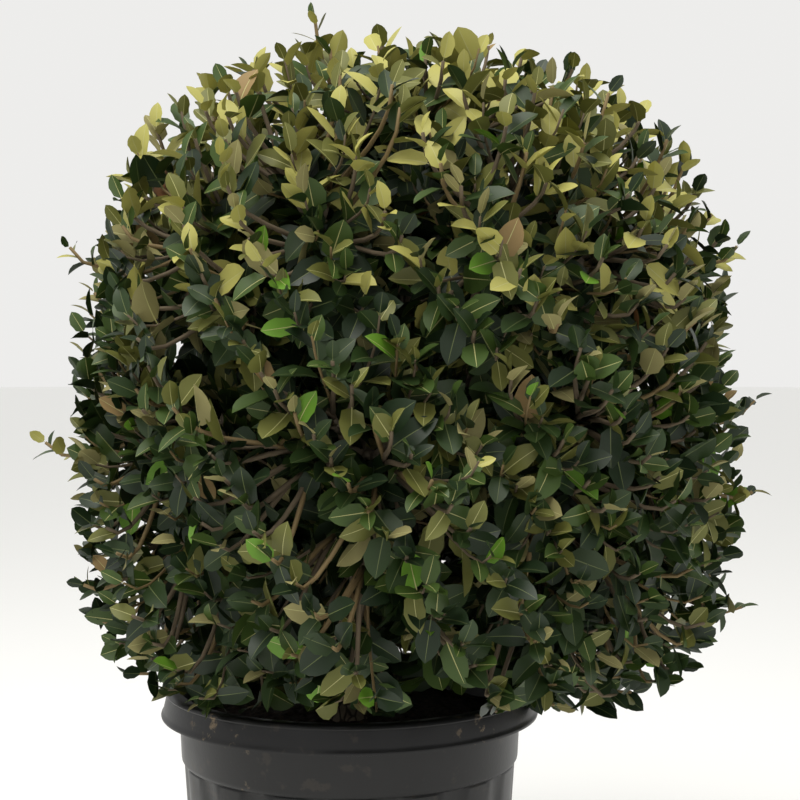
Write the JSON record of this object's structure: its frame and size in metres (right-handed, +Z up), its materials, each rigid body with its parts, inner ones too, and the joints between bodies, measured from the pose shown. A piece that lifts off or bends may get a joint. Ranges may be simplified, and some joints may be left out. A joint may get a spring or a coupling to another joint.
{
  "type": "clipped holm oak in a nursery pot",
  "caption": "Evergreen oak clipped to a dense leafy ball on a short stem, standing in a round black nursery pot filled with soil.",
  "frame": {"origin": "centre of the pot's flat underside", "axes": "+Z up along the pot's axis; -Y towards the viewer of the picture and +X to the viewer's right"},
  "size_m": [0.779, 0.7481, 1.0622],
  "materials": {
    "pot_plastic": "satin black moulded plastic",
    "earth": "dark moist potting soil",
    "bark": "grey-brown bark",
    "leaf": "leathery dark green leaves, olive and yellow-green towards the tips"
  },
  "bodies": {
    "root": {"pot": "pot_plastic", "potting_soil": "earth", "trunk": "bark", "bough_top": "bark", "bough_upper_1": "bark", "bough_upper_2": "bark", "bough_upper_3": "bark", "bough_upper_4": "bark", "bough_upper_5": "bark", "bough_lower_1": "bark", "bough_lower_2": "bark", "bough_lower_3": "bark", "bough_lower_4": "bark", "bough_lower_5": "bark", "bough_lower_6": "bark", "bough_lower_7": "bark", "foliage_top": "leaf", "foliage_upper_1": "leaf", "foliage_upper_2": "leaf", "foliage_upper_3": "leaf", "foliage_upper_4": "leaf", "foliage_upper_5": "leaf", "foliage_lower_1": "leaf", "foliage_lower_2": "leaf", "foliage_lower_3": "leaf", "foliage_lower_4": "leaf", "foliage_lower_5": "leaf", "foliage_lower_6": "leaf", "foliage_lower_7": "leaf"}
  },
  "joints": []
}
